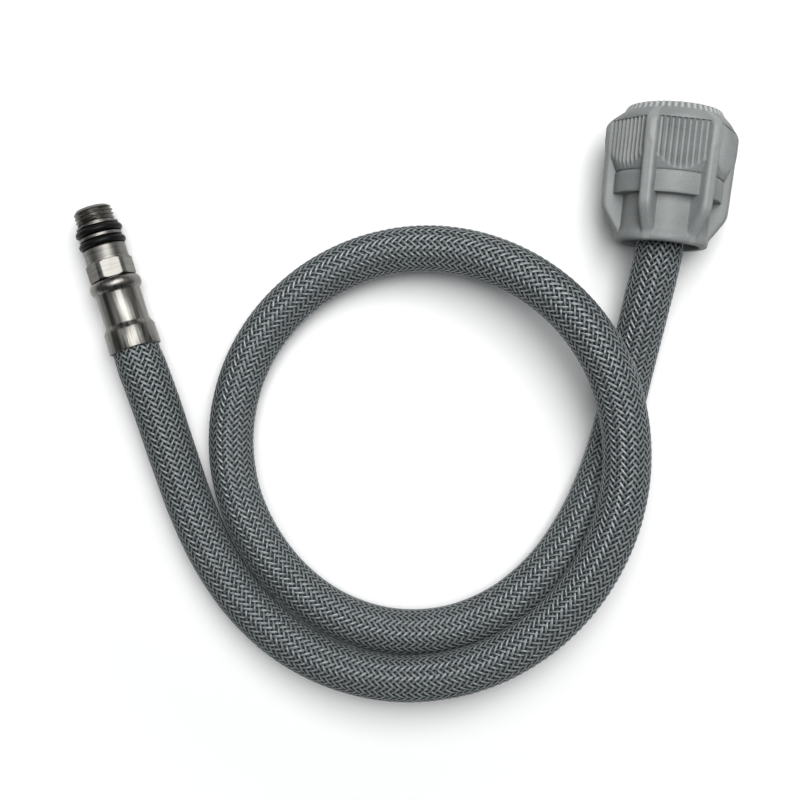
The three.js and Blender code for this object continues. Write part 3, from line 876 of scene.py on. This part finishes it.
def nickel_look(name, scale, share, rough, relief):
    """Nickel plate: fine marks, stretched by scale, over soft clouds."""
    look = Look(name, (0.62, 0.61, 0.58), 0.24, metallic=1.0)
    marks = look.noise(look.place(scale), 1.0, 4.0, 0.6)
    clouds = look.noise(look.place((220, 160, 220)), 1.0, 3.0)
    mixed = look.blend(marks, share, clouds)
    look.colour(look.remap(mixed, 0.35, 0.65, 0, 1), *NICKEL)
    look.rough(mixed, *rough)
    look.bump(mixed, relief, 0.7)
    return look.material


def rubber_look():
    """Black seal rubber with a fine grain."""
    look = Look("seal_rubber", (0.008, 0.008, 0.009), 0.5, specular=0.15)
    grain = look.noise(look.place((1400, 1400, 1400)), 1.0, 4.0)
    look.colour(grain, *RUBBER)
    look.rough(grain, 0.3, 0.5)
    look.bump(grain, 0.02, 0.5)
    return look.material


def liner_look():
    """Dark inner tube."""
    look = Look("liner_tube", (0.05, 0.05, 0.052), 0.6)
    grain = look.noise(look.place((700, 700, 700)), 1.0, 4.0)
    look.colour(grain, *LINER)
    look.bump(grain, 0.03, 0.5)
    return look.material


def plastic_look():
    """Grey moulded plastic, painted paler as a highlight on the crown's rib tips and along the wing
    ridges.
    """
    look = Look("nut_plastic", (0.29, 0.305, 0.3), 0.5, specular=0.45)
    grain = look.noise(look.place((3200, 3200, 3200)), 1.0, 3.0, 0.7)
    cloud = look.noise(look.place((140, 140, 140)), 1.0, 3.0)
    mottle = look.remap(look.blend(grain, 0.6, cloud), 0.3, 0.7, 0, 0.36)
    # Painted highlight from the UV layer, added to the mottled tone
    split = look.add("ShaderNodeSeparateXYZ")
    look.join(look.add("ShaderNodeUVMap", uv_map="wear").outputs["UV"], split.inputs["Vector"])
    highlight_tone = look.math("MULTIPLY", split.outputs["X"], 0.64)
    look.colour(look.math("ADD", mottle, highlight_tone), *PLASTIC_AND_HIGHLIGHT)
    look.rough(grain, 0.42, 0.58)
    look.bump(grain, 0.03, 0.6)
    return look.material


# Surroundings: the lamps aim at the middle of the object, and the floor glows far from it
MIDDLE = (0, -0.04, 0)
LAMPS = [
    ("left", (-0.32, 0.1, 0.56), (0.16, 0.5), 0.3),
    ("top", (0.1, 0.2, 0.74), (0.46, 0.7), 7.2),
    ("right", (0.55, 0.1, 0.5), (0.3, 0.5), 0.2),
]
WORLD_COLOUR, WORLD_STRENGTH = (0.9, 0.95, 1.0), 0.09
FLOOR_REACH, FLOOR_SHADE = 30, 0.15
GLOW_START, GLOW_FULL = 0.1, 0.6


def area_light(name, place, size, power):
    data = bpy.data.lights.new(name, "AREA")
    data.shape, data.size, data.size_y, data.energy = "RECTANGLE", size[0], size[1], power
    made = bpy.data.objects.new(name, data)
    made.location = place
    made.rotation_euler = (Vector(MIDDLE) - Vector(place)).to_track_quat("-Z", "Y").to_euler()
    bpy.context.scene.collection.objects.link(made)


def floor():
    """A pale floor, white to the eye and in reflections, which keeps the object's shadow."""
    mesh = bpy.data.meshes.new("floor")
    ends = ((-1, -1), (1, -1), (1, 1), (-1, 1))
    corners = [(x * FLOOR_REACH, y * FLOOR_REACH, 0) for x, y in ends]
    mesh.from_pydata(corners, [], [(0, 1, 2, 3)])
    made = bpy.data.objects.new("floor", mesh)
    bpy.context.scene.collection.objects.link(made)
    look = Look("floor", (0.9, 0.9, 0.9), 0.9, specular=0.0)
    path = look.add("ShaderNodeLightPath")
    seen = look.math("ADD", path.outputs["Is Camera Ray"], path.outputs["Is Glossy Ray"])
    seen = look.math("ADD", seen, path.outputs["Is Transmission Ray"])
    look.colour(seen, (FLOOR_SHADE,) * 3, (1, 1, 1))
    far = look.add("ShaderNodeVectorMath", operation="DISTANCE")
    look.join(look.add("ShaderNodeTexCoord").outputs["Object"], far.inputs[0])
    far.inputs[1].default_value = MIDDLE
    glow = look.remap(far.outputs["Value"], GLOW_START, GLOW_FULL, 0, 1)
    look.shader.inputs["Emission Color"].default_value = (1, 1, 1, 1)
    look.join(look.math("MULTIPLY", seen, glow), look.shader.inputs["Emission Strength"])
    mesh.materials.append(look.material)


def surroundings():
    world = bpy.data.worlds.new("studio")
    bpy.context.scene.world = world
    world.use_nodes = True
    background = world.node_tree.nodes["Background"]
    background.inputs["Color"].default_value = (*WORLD_COLOUR, 1)
    background.inputs["Strength"].default_value = WORLD_STRENGTH
    for lamp in LAMPS:
        area_light(*lamp)
    floor()


def dress_liner(material):
    """Gives the one solid that stays its own look."""
    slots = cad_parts["hose_liner"].data.materials
    slots.clear()
    slots.append(material)


bpy.context.scene.view_settings.view_transform = "Standard"
camera()
materials = {
    "braid": braid_look(),
    "under": gap_shade_look(),
    # Rings from the lathe on the stem and tail, and marks of crimping along the sleeves
    "metal": nickel_look("turned_nickel", (60, 3000, 60), 0.55, (0.34, 0.5), 0.02),
    "sleeve": nickel_look("crimped_nickel", (1500, 60, 1500), 0.8, (0.26, 0.42), 0.12),
    "rubber": rubber_look(),
    "liner": liner_look(),
    "plastic": plastic_look(),
}
hose(materials)
inlet(materials)
outlet(materials)
nut(materials)
dress_liner(materials["liner"])
surroundings()
